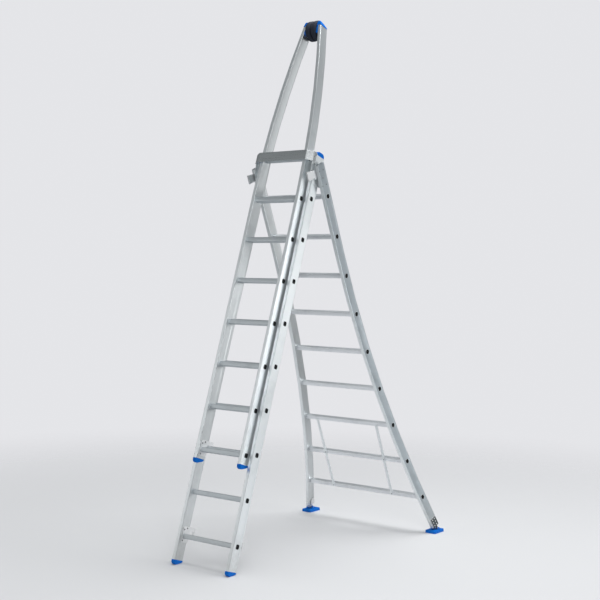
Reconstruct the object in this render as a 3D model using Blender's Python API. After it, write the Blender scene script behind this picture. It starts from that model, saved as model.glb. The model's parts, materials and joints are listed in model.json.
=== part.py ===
"""Three-section aluminium combination ladder, standing open as a step ladder.

The middle section stands on the floor and carries the rear section on a hinge.
The top section slides in front of the middle one and hangs on its rungs by two hooks.
Each section is modelled upright in its own frame: x along the rungs, y towards the
back of that section, z up along the stiles from their lower ends.  Metres throughout.
"""
import math

import bmesh
import bpy
from mathutils import Matrix, Vector

# Gaps between pieces that touch, and running clearances.
SEAT_GAP = 0.0003
RUN_GAP = 0.0006

# Stile: one box extrusion for all three sections, its wide faces dished between two flanges.
STILE_WIDTH = 0.0255
STILE_DEPTH = 0.074
STILE_WALL = 0.0020
STILE_CORNER = 0.004
DISH_DEPTH = 0.0015
DISH_HALF = 0.021
DISH_SHOULDER = 0.002

# Rung: hollow, nearly square, pushed through both stile walls.
RUNG_PITCH = 0.280
RUNG_SIZE = 0.031
RUNG_CORNER = 0.006
RUNG_WALL = 0.0017
RUNG_PROUD = 0.0005

# Middle section.
MIDDLE_WIDTH = 0.466
MIDDLE_RUNGS = 9
MIDDLE_FIRST_RUNG = 0.150
MIDDLE_HEAD = 0.290

# Top section: straight lower part, then stiles that bend in towards the tip.
TOP_SIDE_GAP = 0.0125
TOP_RUNG_GAP = 0.0025
TOP_RUNGS = 8
TOP_FIRST_RUNG = 0.058
TOP_HEAD = 0.961
TOP_BEND_START = 1.785
TOP_TIP_WIDTH = 0.146
TOP_BEND_CHORDS = 5
TOP_RAISED_RUNGS = 2

# Rear section: straight upper part, then stiles that flare out to a wide base.
REAR_SIDE_GAP = 0.0185
REAR_RUNG_GAP = 0.0055
REAR_RUNGS = 9
REAR_FIRST_RUNG = 0.2285
REAR_HEAD = 0.220
REAR_BEND_START = 2.0785
REAR_BASE_WIDTH = 1.1257
REAR_BEND_CHORDS = 6

# Stance and hinge.  The rear lean follows from these lengths.
FRONT_LEAN = math.radians(17.9)
HINGE_BELOW_MIDDLE_TOP = 0.1767
HINGE_BEHIND_STILE = 0.012
HINGE_BELOW_REAR_TOP = 0.1414
HINGE_STUD_RADIUS = 0.006
HINGE_STUD_REACH = 0.010
HINGE_HEAD_RADIUS = 0.0085
HINGE_HEAD_LENGTH = 0.006
HINGE_COLLAR_RADIUS = 0.010
EAR_RADIUS = 0.017

# Side plates on the middle section and the bar that holds the top section in front of it.
SIDE_PLATE = 0.003
SIDE_PLATE_FRONT = 0.040
SIDE_PLATE_SHOULDER = 0.120
SIDE_PLATE_LOW = 0.170
SIDE_PLATE_STEP = 0.004
BAR_SHEET = 0.003
BAR_HEIGHT = 0.065
BAR_ABOVE_TOP = 0.010
BAR_CLEARANCE = 0.015
BAR_FRONT_WIDTH = 0.408
BAR_CORNER = 0.012
BAR_LEG_BACK = 0.050
BAR_GUSSET = 0.023
STOP_LENGTH = 0.018
STOP_THICKNESS = 0.012

# Wing plates on the inner faces of the rear stiles, with a lip along the front edge.
WING_SHEET = 0.0035
WING_REACH = 0.090
WING_HEIGHT = 0.061
WING_BELOW_TOP = 0.014
WING_FALL = 0.016
WING_BACK = 0.030
WING_LIP = 0.0105

# Rung hooks: plates on the inner stile faces, open downwards behind the stile.
HOOK_SHEET = 0.005
HOOK_DROP = 0.017
HOOK_TOP = 0.060
HOOK_BELOW = 0.040
HOOK_FRONT = 0.024
HOOK_FINGER = 0.016
HOOK_SIDE_GAP = 0.002

# Stile feet with a boat-shaped sole, and caps on the stile tops.
FOOT_OVERHANG = 0.0012
FOOT_DROP = 0.026
FOOT_CONTACT = 0.004
FOOT_SOLE = 0.024
PLUG_LENGTH = 0.030
CAP_HEIGHT = 0.030
CAP_CORNER = 0.024

# Tip: two rollers on an axle between the tip caps, whose lobes reach round in front of the stiles.
ROLLER_RADIUS = 0.068
ROLLER_SPACE = 0.005
ROLLER_SIDE_GAP = 0.0008
ROLLER_SHOULDER = 0.010
ROLLER_HUB_RADIUS = 0.030
ROLLER_DISH = 0.003
AXLE_RADIUS = 0.006
AXLE_BELOW_TIP = 0.0185
AXLE_BEHIND = 0.008
TIP_CHEEK = 0.003
TIP_LOBE_REACH = 0.004
TIP_LOBE_SHEET = 0.004
TIP_LOBE_DROP = 0.055
TIP_CAP_HEIGHT = 0.027
TIP_CAP_FRONT = 0.030
TIP_CAP_BACK = 0.009
TIP_CAP_LEAN = 0.25
TIP_LEDGE = 0.005

# Swivelling rear feet.
PIN_BELOW_STILE = 0.0184
PIN_HEIGHT = 0.030
PIN_RADIUS = 0.004
BRACKET_SHEET = 0.003
BRACKET_HALF = 0.031
BRACKET_TOP = 0.062
BRACKET_END_RADIUS = 0.0085
BRACKET_INNER_HALF = 0.023
BRACKET_INNER_BACK = 0.012
BRACKET_INNER_TOP = 0.054
PAD_WIDTH = 0.082
PAD_LENGTH = 0.128
PAD_INWARD = 0.007
PAD_THICKNESS = 0.020
PAD_EDGE = 0.005
PAD_EAR_RADIUS = 0.009
PAD_EAR_FOOT = 0.020
PAD_EAR_SHEET = 0.007
PAD_EAR_GAP = 0.005

# Tie bars that stiffen the three widest rungs.
TIE_BAR_SPACING = 0.510
TIE_BAR_WIDTH = 0.020
TIE_BAR_SHEET = 0.004
TIE_BAR_RUNGS = 3
TIE_BAR_BELOW = 0.012
TIE_BAR_SHORT = 0.004

# Lengths and places that follow.
HALF_DEPTH = STILE_DEPTH / 2
HALF_RUNG = RUNG_SIZE / 2
TOP_WIDTH = MIDDLE_WIDTH - 2 * (STILE_WIDTH + TOP_SIDE_GAP)
REAR_WIDTH = MIDDLE_WIDTH + 2 * (STILE_WIDTH + REAR_SIDE_GAP)
TOP_OFFSET = HALF_DEPTH + HALF_RUNG + TOP_RUNG_GAP
HINGE_BEHIND_MIDDLE = HALF_DEPTH + HINGE_BEHIND_STILE
HINGE_BEFORE_REAR = HALF_DEPTH + HALF_RUNG + REAR_RUNG_GAP - HINGE_BEHIND_MIDDLE
MIDDLE_LENGTH = MIDDLE_FIRST_RUNG + (MIDDLE_RUNGS - 1) * RUNG_PITCH + MIDDLE_HEAD
TOP_LENGTH = TOP_FIRST_RUNG + (TOP_RUNGS - 1) * RUNG_PITCH + TOP_HEAD
REAR_LENGTH = REAR_FIRST_RUNG + (REAR_RUNGS - 1) * RUNG_PITCH + REAR_HEAD
MIDDLE_HINGE = Vector((0.0, HINGE_BEHIND_MIDDLE, MIDDLE_LENGTH - HINGE_BELOW_MIDDLE_TOP))
REAR_HINGE = Vector((0.0, -HINGE_BEFORE_REAR, REAR_LENGTH - HINGE_BELOW_REAR_TOP))
ROUND_SIDES = 14
PIN_SIDES = 12


def clear_scene():
    """Start from an empty scene."""
    for item in list(bpy.data.objects):
        bpy.data.objects.remove(item, do_unlink=True)


def finish(name, colour, roughness, metallic):
    """Make a plain material for one finish."""
    made = bpy.data.materials.new(name)
    made.use_nodes = True
    shader = made.node_tree.nodes["Principled BSDF"]
    shader.inputs["Base Color"].default_value = (*colour, 1.0)
    shader.inputs["Roughness"].default_value = roughness
    shader.inputs["Metallic"].default_value = metallic
    return made


def frame(name, parent=None, location=(0, 0, 0), turn=0.0):
    """Make an empty that carries one section or stands on one joint axis."""
    empty = bpy.data.objects.new(name, None)
    bpy.context.collection.objects.link(empty)
    empty.parent = parent
    empty.location = location
    empty.rotation_euler = (turn, 0.0, 0.0)
    return empty


def to_mesh(shape, name):
    """Turn a bmesh into a mesh and free it."""
    mesh = bpy.data.meshes.new(name)
    shape.to_mesh(mesh)
    shape.free()
    return mesh


def add(name, shape, material, parent, origin=(0, 0, 0), place=None, turn=0.0):
    """Add one piece: its shape is in the parent's frame, its origin goes to the given point."""
    bmesh.ops.translate(shape, verts=shape.verts, vec=-Vector(origin))
    mesh = to_mesh(shape, name)
    mesh.materials.append(material)
    mesh.shade_smooth()
    mesh.set_sharp_from_angle(angle=math.radians(30))
    piece = bpy.data.objects.new(name, mesh)
    bpy.context.collection.objects.link(piece)
    piece.parent = parent
    piece.location = origin if place is None else place
    piece.rotation_euler = (turn, 0.0, 0.0)
    return piece


def mirrored(shape):
    """Copy a right-hand shape to the left."""
    other = shape.copy()
    bmesh.ops.scale(other, verts=other.verts, vec=(-1, 1, 1))
    bmesh.ops.reverse_faces(other, faces=other.faces)
    return other


def add_pair(name, shape, material, parent, origin=(0, 0, 0), place=(0, 0, 0)):
    """Add a right-hand piece and its mirror image."""
    add(name + "_left", mirrored(shape), material, parent, origin, place)
    add(name + "_right", shape, material, parent, origin, place)


def combine(base, tool, operation):
    """Cut a tool from a base shape or join it on; both are closed and share one frame."""
    target = bpy.data.objects.new("target", to_mesh(base, "target"))
    other = bpy.data.objects.new("tool", to_mesh(tool, "tool"))
    other.hide_render = True
    other.display_type = "WIRE"
    for item in (target, other):
        bpy.context.collection.objects.link(item)
    modifier = target.modifiers.new("combine", "BOOLEAN")
    modifier.operation = operation
    modifier.object = other
    evaluated = target.evaluated_get(bpy.context.evaluated_depsgraph_get())
    result = bmesh.new()
    result.from_mesh(evaluated.to_mesh())
    evaluated.to_mesh_clear()
    for item in (target, other):
        bpy.data.objects.remove(item, do_unlink=True)
    return result


def soften(shape, width):
    """Round the sharp edges of a moulded piece."""
    edges = []
    for edge in shape.edges:
        if edge.calc_face_angle(0.0) > math.radians(35):
            edges.append(edge)
    bmesh.ops.bevel(shape, geom=edges, offset=width, segments=1, affect="EDGES", clamp_overlap=True)
    return shape


def arc(centre, radius, start, end, steps):
    """Points on an arc, angles in degrees from the first axis."""
    points = []
    for step in range(steps + 1):
        angle = math.radians(start + (end - start) * step / steps)
        points.append((centre[0] + radius * math.cos(angle), centre[1] + radius * math.sin(angle)))
    return points


def curve(start, pull, end, steps):
    """Points on a parabola from start to end, drawn towards the pull point."""
    points = []
    for step in range(steps + 1):
        t = step / steps
        point = [(1 - t) ** 2 * a + 2 * t * (1 - t) * b + t * t * c for a, b, c in zip(start, pull, end)]
        points.append(tuple(point))
    return points


def rounded_box_outline(half_a, half_b, radius, steps):
    """Rectangle about the origin with round corners."""
    inner_a = half_a - radius
    inner_b = half_b - radius
    points = arc((inner_a, inner_b), radius, 0, 90, steps)
    points += arc((-inner_a, inner_b), radius, 90, 180, steps)
    points += arc((-inner_a, -inner_b), radius, 180, 270, steps)
    points += arc((inner_a, -inner_b), radius, 270, 360, steps)
    return points


def stile_outline():
    """Outside of the stile extrusion: round corners and a dish in both wide faces."""
    half = STILE_WIDTH / 2
    floor = half - DISH_DEPTH
    edge = DISH_HALF + DISH_SHOULDER
    dish = [(half, -edge), (floor, -DISH_HALF), (floor, DISH_HALF), (half, edge)]
    corners = rounded_box_outline(half, HALF_DEPTH, STILE_CORNER, 2)
    other_dish = [(-x, -y) for x, y in dish]
    return dish + corners[:6] + other_dish + corners[6:]


def stile_bore():
    """Inside of the stile extrusion."""
    half_x = STILE_WIDTH / 2 - DISH_DEPTH - STILE_WALL
    half_y = HALF_DEPTH - STILE_WALL
    return [(half_x, -half_y), (half_x, half_y), (-half_x, half_y), (-half_x, -half_y)]


def loop_faces(shape, first, second):
    """Walls between two loops of the same count."""
    count = len(first)
    for i in range(count):
        j = (i + 1) % count
        shape.faces.new((first[i], first[j], second[j], second[i]))


def close_end(shape, rings):
    """Fill the cut end of a tube between its outer and inner ring."""
    edges = []
    for ring in rings:
        for i, vert in enumerate(ring):
            edges.append(shape.edges.get((vert, ring[(i + 1) % len(ring)])))
    bmesh.ops.triangle_fill(shape, use_beauty=True, edges=edges)


def tidy_normals(shape):
    """Turn all faces outwards."""
    bmesh.ops.recalc_face_normals(shape, faces=shape.faces)
    return shape


def plate(outline, x_low, x_high):
    """Flat or solid piece: an outline of (y, z) carried along x."""
    shape = bmesh.new()
    low = [shape.verts.new((x_low, y, z)) for y, z in outline]
    high = [shape.verts.new((x_high, y, z)) for y, z in outline]
    shape.faces.new(low)
    shape.faces.new(high)
    loop_faces(shape, low, high)
    return tidy_normals(shape)


def block(x_low, x_high, y_low, y_high, z_low, z_high):
    """Plain box between two corners."""
    outline = [(y_low, z_low), (y_high, z_low), (y_high, z_high), (y_low, z_high)]
    return plate(outline, x_low, x_high)


def rod(stations, centre=(0.0, 0.0), sides=ROUND_SIDES):
    """Turned bar along x: (x, radius) stations about a centre (y, z), with flat ends."""
    shape = bmesh.new()
    rings = []
    for x, radius in stations:
        ring = []
        for side in range(sides):
            angle = 2 * math.pi * side / sides
            y = centre[0] + radius * math.cos(angle)
            z = centre[1] + radius * math.sin(angle)
            ring.append(shape.verts.new((x, y, z)))
        rings.append(ring)
    for first, second in zip(rings, rings[1:]):
        loop_faces(shape, first, second)
    shape.faces.new(rings[0])
    shape.faces.new(rings[-1])
    return tidy_normals(shape)


def turned_ring(profile, sides):
    """Wheel turned about x from a closed profile of (x, radius) points."""
    shape = bmesh.new()
    rings = []
    for x, radius in profile:
        ring = []
        for side in range(sides):
            angle = 2 * math.pi * side / sides
            ring.append(shape.verts.new((x, radius * math.cos(angle), radius * math.sin(angle))))
        rings.append(ring)
    for index, ring in enumerate(rings):
        loop_faces(shape, ring, rings[(index + 1) % len(rings)])
    return tidy_normals(shape)


class Side:
    """Centre line of a right-hand stile: chords between stations, shared by all that fits it."""

    def __init__(self, half_width, stations, bend):
        self.stations = stations
        self.values = [half_width - STILE_WIDTH / 2 + bend(z) for z in stations]

    def centre(self, z):
        """Sideways place of the stile's middle at a height, also past its ends."""
        last = len(self.stations) - 2
        index = 0
        while index < last and z > self.stations[index + 1]:
            index += 1
        low, high = self.stations[index], self.stations[index + 1]
        share = (z - low) / (high - low)
        return self.values[index] + share * (self.values[index + 1] - self.values[index])

    def outer(self, z):
        """Outer flange face."""
        return self.centre(z) + STILE_WIDTH / 2

    def follow(self, shape):
        """Shift a shape drawn about x = 0 onto the stile."""
        for vert in shape.verts:
            vert.co.x += self.centre(vert.co.z)
        return shape


def bend_shift(height, rise, shift):
    """Sideways place on an arc that moves by a shift over its whole rise."""
    if height <= 0:
        return 0.0
    radius = (rise * rise + shift * shift) / (2 * shift)
    return radius - math.sqrt(radius * radius - height * height)


def spread(start, end, count):
    """Evenly spaced stations."""
    return [start + (end - start) * i / count for i in range(count + 1)]


def middle_side():
    """Straight stile of the middle section."""
    return Side(MIDDLE_WIDTH / 2, [0.0, MIDDLE_LENGTH], lambda z: 0.0)


def top_side():
    """Stile of the top section, bending in above the straight part."""
    stations = [0.0] + spread(TOP_BEND_START, TOP_LENGTH, TOP_BEND_CHORDS)
    rise = TOP_LENGTH - TOP_BEND_START
    shift = (TOP_WIDTH - TOP_TIP_WIDTH) / 2
    return Side(TOP_WIDTH / 2, stations, lambda z: -bend_shift(z - TOP_BEND_START, rise, shift))


def rear_side():
    """Stile of the rear section, flaring out below the straight part."""
    stations = spread(0.0, REAR_BEND_START, REAR_BEND_CHORDS) + [REAR_LENGTH]
    shift = (REAR_BASE_WIDTH - REAR_WIDTH) / 2
    return Side(REAR_WIDTH / 2, stations, lambda z: bend_shift(REAR_BEND_START - z, REAR_BEND_START, shift))


def stile_tube(side):
    """Hollow stile swept along its chords, open at both ends."""
    shape = bmesh.new()
    loops = []
    for z in side.stations:
        rings = []
        for outline in (stile_outline(), stile_bore()):
            rings.append([shape.verts.new((x + side.centre(z), y, z)) for x, y in outline])
        loops.append(rings)
    for lower, upper in zip(loops, loops[1:]):
        for first, second in zip(lower, upper):
            loop_faces(shape, first, second)
    for rings in (loops[0], loops[-1]):
        close_end(shape, rings)
    return tidy_normals(shape)


def rung_outline(grow=0.0):
    """Outside of a rung, seen along it, grown by a clearance."""
    return rounded_box_outline(HALF_RUNG + grow, HALF_RUNG + grow, RUNG_CORNER + grow, 2)


def rung_cutters(side, heights):
    """Prisms that open both stile walls for the rungs."""
    cutters = bmesh.new()
    reach = STILE_WIDTH
    for height in heights:
        outline = [(y, z + height) for y, z in rung_outline(SEAT_GAP)]
        centre = side.centre(height)
        prism = plate(outline, centre - reach, centre + reach)
        mesh = to_mesh(prism, "prism")
        cutters.from_mesh(mesh)
        bpy.data.meshes.remove(mesh)
    return cutters


def rung_tube(side, height):
    """Hollow rung whose ends stand just proud of the dished outer faces."""
    outer = rung_outline()
    half = HALF_RUNG - RUNG_WALL
    inner = rounded_box_outline(half, half, RUNG_CORNER - RUNG_WALL, 1)
    shape = bmesh.new()
    loops = []
    for sign in (-1, 1):
        pair = []
        for outline in (outer, inner):
            ring = []
            for y, z in outline:
                end = side.outer(height + z) - DISH_DEPTH + RUNG_PROUD
                ring.append(shape.verts.new((sign * end, y, height + z)))
            pair.append(ring)
        loops.append(pair)
    for index in range(2):
        loop_faces(shape, loops[0][index], loops[1][index])
    for rings in loops:
        close_end(shape, rings)
    return tidy_normals(shape)


def rung_heights(first, count):
    """Rung centres above the stile's lower end."""
    return [first + RUNG_PITCH * i for i in range(count)]


def section_frame(name, side, heights, metal, parent, extra_cut=None, origin=(0, 0, 0)):
    """Two stiles and their rungs."""
    cutters = rung_cutters(side, heights)
    if extra_cut is not None:
        mesh = to_mesh(extra_cut, "extra")
        cutters.from_mesh(mesh)
        bpy.data.meshes.remove(mesh)
    stile = combine(stile_tube(side), cutters, "DIFFERENCE")
    add_pair(name + "_stile", stile, metal, parent, origin)
    for number, height in enumerate(heights, 1):
        add(f"{name}_rung_{number}", rung_tube(side, height), metal, parent, origin, (0, 0, 0))


def plug(z_low, z_high):
    """Stub that fits the stile's bore, drawn about x = 0."""
    bore = stile_bore()
    half_x = bore[0][0] - SEAT_GAP
    half_y = bore[1][1] - SEAT_GAP
    return block(-half_x, half_x, -half_y, half_y, z_low, z_high)


def stile_foot():
    """Moulded foot under a stile: a plug and a boat-shaped sole with a facet level with the floor."""
    half = HALF_DEPTH + FOOT_OVERHANG
    along = Vector((math.cos(FRONT_LEAN), -math.sin(FRONT_LEAN)))
    contact = Vector((-FOOT_CONTACT, -FOOT_DROP))
    front = contact - Vector((along.x, -along.y)) * FOOT_SOLE / 2
    back = contact + Vector((along.x, -along.y)) * FOOT_SOLE / 2
    top = -SEAT_GAP
    shoulder = -FOOT_DROP * 0.25
    outline = [(half, top), (-half, top)]
    outline += curve((-half, shoulder), (-half, front.y), tuple(front), 4)
    heel = back.y + (half - back.x) * math.tan(FRONT_LEAN)
    outline += curve(tuple(back), (half, heel), (half, shoulder), 4)
    width = STILE_WIDTH / 2 + FOOT_OVERHANG
    sole = soften(plate(outline, -width, width), 0.0015)
    return combine(sole, plug(top - 0.004, PLUG_LENGTH), "UNION")


def stile_cap(length):
    """Domed cap on a square stile top."""
    half = HALF_DEPTH + FOOT_OVERHANG
    low = length + SEAT_GAP
    high = length + CAP_HEIGHT
    outline = [(-half, low), (half, low)]
    outline += arc((half - CAP_CORNER, high - CAP_CORNER), CAP_CORNER, 0, 90, 5)
    outline += arc((-half + CAP_CORNER, high - CAP_CORNER), CAP_CORNER, 90, 180, 5)
    face = STILE_WIDTH / 2 + FOOT_OVERHANG
    shell = soften(plate(outline, -face, face), 0.0015)
    return combine(shell, plug(length - PLUG_LENGTH, low + 0.004), "UNION")


def hook_plate(side, height):
    """Hook on the inner face of a stile: it hangs over a rung of the section behind."""
    throat_centre = TOP_OFFSET
    throat_front = throat_centre - HALF_RUNG - HOOK_SIDE_GAP
    throat_back = throat_centre + HALF_RUNG + HOOK_SIDE_GAP
    throat_top = HOOK_DROP + HALF_RUNG + SEAT_GAP
    finger_end = -HALF_RUNG + HOOK_DROP - 0.010
    back = throat_back + HOOK_FINGER
    round_over = 0.012
    outline = [(-HOOK_FRONT, -HOOK_BELOW), (throat_front - 0.004, -HOOK_BELOW)]
    outline += [(throat_front, -HOOK_BELOW + 0.006), (throat_front, throat_top), (throat_back, throat_top)]
    outline += [(throat_back, finger_end), (back - 0.004, finger_end), (back, finger_end + 0.006)]
    outline += arc((back - round_over, HOOK_TOP - round_over), round_over, 0, 90, 4)
    outline += arc((-HOOK_FRONT + round_over, HOOK_TOP - round_over), round_over, 90, 180, 4)
    outline = [(y, z + height) for y, z in outline]
    face = side.centre(height) - STILE_WIDTH / 2 - SEAT_GAP
    shape = plate(outline, face - HOOK_SHEET, face)
    return combine(shape, rung_cutters(side, [height]), "DIFFERENCE")


def rear_lean():
    """Lean of the rear section at which its feet reach the floor."""
    hinge = Matrix.Rotation(-FRONT_LEAN, 3, "X") @ MIDDLE_HINGE
    height = hinge.z + middle_base_height()
    drop = REAR_HINGE.z + PIN_BELOW_STILE
    reach = math.hypot(drop, HINGE_BEFORE_REAR)
    skew = math.atan2(HINGE_BEFORE_REAR, drop)
    return math.acos((height - PIN_HEIGHT) / reach) - skew


def middle_base_height():
    """Height of the middle stile's lower end above the floor."""
    return FOOT_DROP * math.cos(FRONT_LEAN) - FOOT_CONTACT * math.sin(FRONT_LEAN)


def rear_to_middle(shape):
    """Carry a shape from the rear section's frame into the middle one, at the open angle."""
    turn = Matrix.Rotation(FRONT_LEAN + rear_lean(), 4, "X")
    move = Matrix.Translation(MIDDLE_HINGE) @ turn @ Matrix.Translation(-REAR_HINGE)
    shape.transform(move)
    return shape


def wing_bounds():
    """Lower, upper and front edge of the wing plate in the rear section's frame."""
    high = REAR_LENGTH - WING_BELOW_TOP
    return high - WING_HEIGHT, high, -HALF_DEPTH - WING_REACH


def wing_faces():
    """Inner and outer face of the wing plate."""
    outer = REAR_WIDTH / 2 - STILE_WIDTH - SEAT_GAP
    return outer - WING_SHEET, outer


def side_plate_faces():
    """Inner and outer face of the side plate on the middle stile."""
    inner = MIDDLE_WIDTH / 2 + SEAT_GAP
    return inner, inner + SIDE_PLATE


def side_plate():
    """Plate on the outer face of the middle stile, with the hinge ear and the opening stop."""
    inner, outer = side_plate_faces()
    top = MIDDLE_LENGTH + BAR_ABOVE_TOP - 0.002
    front = -HALF_DEPTH - SIDE_PLATE_FRONT
    low = MIDDLE_LENGTH - SIDE_PLATE_LOW
    hinge = (MIDDLE_HINGE.y, MIDDLE_HINGE.z)
    step = -HALF_DEPTH - SIDE_PLATE_STEP
    outline = [(HALF_DEPTH - 0.001, MIDDLE_LENGTH), (step, MIDDLE_LENGTH), (step, top), (front, top)]
    outline += [(front, top - BAR_HEIGHT + 0.002)]
    outline += [(front + 0.005, MIDDLE_LENGTH - SIDE_PLATE_SHOULDER), (-HALF_DEPTH, low)]
    outline += [(-HALF_DEPTH + 0.006, low - 0.025)]
    outline += arc(hinge, EAR_RADIUS, 270, 390, 8)
    outline += [(HALF_DEPTH - 0.001, hinge[1] + 0.067)]
    shape = plate(outline, inner, outer)
    wing_low = wing_bounds()[0]
    stop_back = -HALF_DEPTH - 0.004
    stop_top = wing_low - SEAT_GAP
    tab = block(outer - 0.001, wing_faces()[1] - RUN_GAP, stop_back - STOP_LENGTH, stop_back,
                stop_top - STOP_THICKNESS, stop_top)
    shape = combine(shape, rear_to_middle(tab), "UNION")
    bore = rod([(inner - 0.01, HINGE_STUD_RADIUS + SEAT_GAP), (outer + 0.01, HINGE_STUD_RADIUS + SEAT_GAP)], hinge)
    return combine(shape, bore, "DIFFERENCE")


def hinge_stud():
    """Stud fixed in the ear; the wing plate and the rear stile turn on its outer end."""
    inner, outer = side_plate_faces()
    wing_inner, wing_outer = wing_faces()
    shank = HINGE_STUD_RADIUS
    stations = [(inner - SEAT_GAP - HINGE_HEAD_LENGTH, HINGE_HEAD_RADIUS), (inner - SEAT_GAP, HINGE_HEAD_RADIUS)]
    stations += [(inner - SEAT_GAP, shank), (outer + SEAT_GAP, shank)]
    stations += [(outer + SEAT_GAP, HINGE_COLLAR_RADIUS), (wing_inner - SEAT_GAP, HINGE_COLLAR_RADIUS)]
    stations += [(wing_inner - SEAT_GAP, shank), (wing_outer + HINGE_STUD_REACH, shank)]
    return rod(stations, (MIDDLE_HINGE.y, MIDDLE_HINGE.z))


def retaining_bar():
    """Bent strip round the front of the top section; its legs splay out to the side plates."""
    outer_x = side_plate_faces()[1] + SEAT_GAP + BAR_SHEET
    front = -TOP_OFFSET - HALF_DEPTH - BAR_CLEARANCE - BAR_SHEET
    high = MIDDLE_LENGTH + BAR_ABOVE_TOP
    low = high - BAR_HEIGHT
    bend = Vector((outer_x, -HALF_DEPTH - SIDE_PLATE_FRONT - BAR_SHEET))
    centre = Vector((BAR_FRONT_WIDTH / 2 - BAR_CORNER, front + BAR_CORNER))
    lead = centre - bend
    first = -math.atan2(lead.y, lead.x) - math.asin(BAR_CORNER / lead.length) - math.pi / 2
    right = [(outer_x, -BAR_LEG_BACK, low - BAR_GUSSET, -1.0, 0.0), (bend.x, bend.y, low, -1.0, math.tan(first / 2))]
    for step in range(4):
        angle = first + (math.pi / 2 - first) * step / 3
        across = math.cos(angle)
        along = math.sin(angle)
        right.append((centre.x + BAR_CORNER * across, centre.y - BAR_CORNER * along, low, -across, along))
    path = right + [(-x, y, z, -across, along) for x, y, z, across, along in reversed(right)]
    shape = bmesh.new()
    rings = []
    for x, y, z, across, along in path:
        inner = (x + BAR_SHEET * across, y + BAR_SHEET * along)
        ring = []
        for point in ((x, y, z), (*inner, z), (*inner, high), (x, y, high)):
            ring.append(shape.verts.new(point))
        rings.append(ring)
    for first_ring, second_ring in zip(rings, rings[1:]):
        loop_faces(shape, first_ring, second_ring)
    shape.faces.new(rings[0])
    shape.faces.new(rings[-1])
    return tidy_normals(shape)


def wing_plate():
    """Plate on the inner face of the rear stile: hinge leg, forward wing and turned-in lip."""
    inner, outer = wing_faces()
    low, high, front = wing_bounds()
    hinge = (REAR_HINGE.y, REAR_HINGE.z)
    leg_front = -HALF_DEPTH + 0.007
    leg_low = hinge[1] - EAR_RADIUS + 0.003
    outline = [(front, low), (leg_front, low), (leg_front, leg_low), (WING_BACK, leg_low)]
    outline += [(WING_BACK, high - WING_FALL), (leg_front, high - WING_FALL), (front, high)]
    shape = plate(outline, inner, outer)
    lip = block(outer - WING_LIP, outer - WING_SHEET / 2, front, front + WING_SHEET, low, high)
    shape = combine(shape, lip, "UNION")
    radius = HINGE_STUD_RADIUS + RUN_GAP
    return combine(shape, rod([(inner - 0.01, radius), (outer + 0.01, radius)], hinge), "DIFFERENCE")


def hinge_bore():
    """Opening for the hinge stud in the inner wall of the rear stile."""
    inner_wall = REAR_WIDTH / 2 - STILE_WIDTH
    radius = HINGE_STUD_RADIUS + RUN_GAP
    return rod([(inner_wall - 0.01, radius), (inner_wall + STILE_WIDTH / 2, radius)], (REAR_HINGE.y, REAR_HINGE.z))


def axle_place():
    """Middle of the roller axle, seen along it, in the top section's frame."""
    return AXLE_BEHIND, TOP_LENGTH - AXLE_BELOW_TIP


def tip_plane(side):
    """Inner face of the tip caps, square to the axle."""
    return side.centre(TOP_LENGTH) - STILE_WIDTH / 2 - SEAT_GAP - TIP_CHEEK


def between(outline, inner, outer):
    """Solid with side faces that may slant: an outline of (y, z), and each face's x at a height."""
    shape = plate(outline, 0.0, 1.0)
    for vert in shape.verts:
        vert.co.x = inner(vert.co.z) if vert.co.x < 0.5 else outer(vert.co.z)
    return shape


def tip_cap(side):
    """Domed cap on the slanting stile tip, with an inner cheek for the axle and a lobe in front."""
    half = HALF_DEPTH + FOOT_OVERHANG
    face = STILE_WIDTH / 2
    low = TOP_LENGTH + SEAT_GAP
    plane = tip_plane(side)
    pull = 2 * TIP_CAP_HEIGHT - (TIP_CAP_BACK + TIP_CAP_FRONT) / 2
    outline = [(-half, low), (half, low)]
    outline += curve((half, TOP_LENGTH + TIP_CAP_BACK), (0.0, TOP_LENGTH + pull),
                     (-half, TOP_LENGTH + TIP_CAP_FRONT), 6)
    rim = face + FOOT_OVERHANG
    dome = between(outline, lambda z: plane, lambda z: side.centre(z) + rim - TIP_CAP_LEAN * (z - low))
    shape = soften(dome, 0.0012)
    bottom = TOP_LENGTH - TIP_LOBE_DROP
    lobe = -HALF_DEPTH - TIP_LOBE_REACH
    inset = half - 0.002
    corner = 0.020
    rise = curve((-HALF_DEPTH, bottom), (lobe, TOP_LENGTH - TIP_LOBE_DROP / 2), (lobe, TOP_LENGTH), 4)
    outline = rise + [(-inset, low + TIP_LEDGE), (inset, low + TIP_LEDGE)]
    outline += arc((inset - corner, bottom + corner), corner, 360, 270, 4)
    cheek = between(outline, lambda z: plane, lambda z: side.centre(z) - face - SEAT_GAP)
    shape = combine(shape, cheek, "UNION")
    crown = (-HALF_DEPTH + 0.007, TOP_LENGTH + TIP_CAP_FRONT - 0.002)
    edge = -HALF_DEPTH - 3 * SEAT_GAP
    outline = rise + curve((lobe, TOP_LENGTH), (lobe, crown[1]), crown, 4)[1:]
    outline += [(crown[0], low + 0.001), (edge, low + 0.001), (edge, bottom + 0.010)]
    shape = combine(shape, plate(outline, plane, plane + TIP_LOBE_SHEET), "UNION")
    shape = combine(shape, side.follow(plug(TOP_LENGTH - PLUG_LENGTH, low + 0.004)), "UNION")
    bore = rod([(plane - 0.01, AXLE_RADIUS + SEAT_GAP), (plane + 0.02, AXLE_RADIUS + SEAT_GAP)], axle_place())
    return combine(shape, bore, "DIFFERENCE")


def axle_rod(side):
    """Axle through both tip cheeks, ending against the stiles."""
    axle = axle_place()
    end = side.centre(axle[1] + AXLE_RADIUS) - STILE_WIDTH / 2 - SEAT_GAP
    return rod([(-end, AXLE_RADIUS), (end, AXLE_RADIUS)], axle)


def roller_width(side):
    """Width of one roller, from the room between the two tip caps."""
    return tip_plane(side) - ROLLER_SIDE_GAP - ROLLER_SPACE / 2


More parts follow.
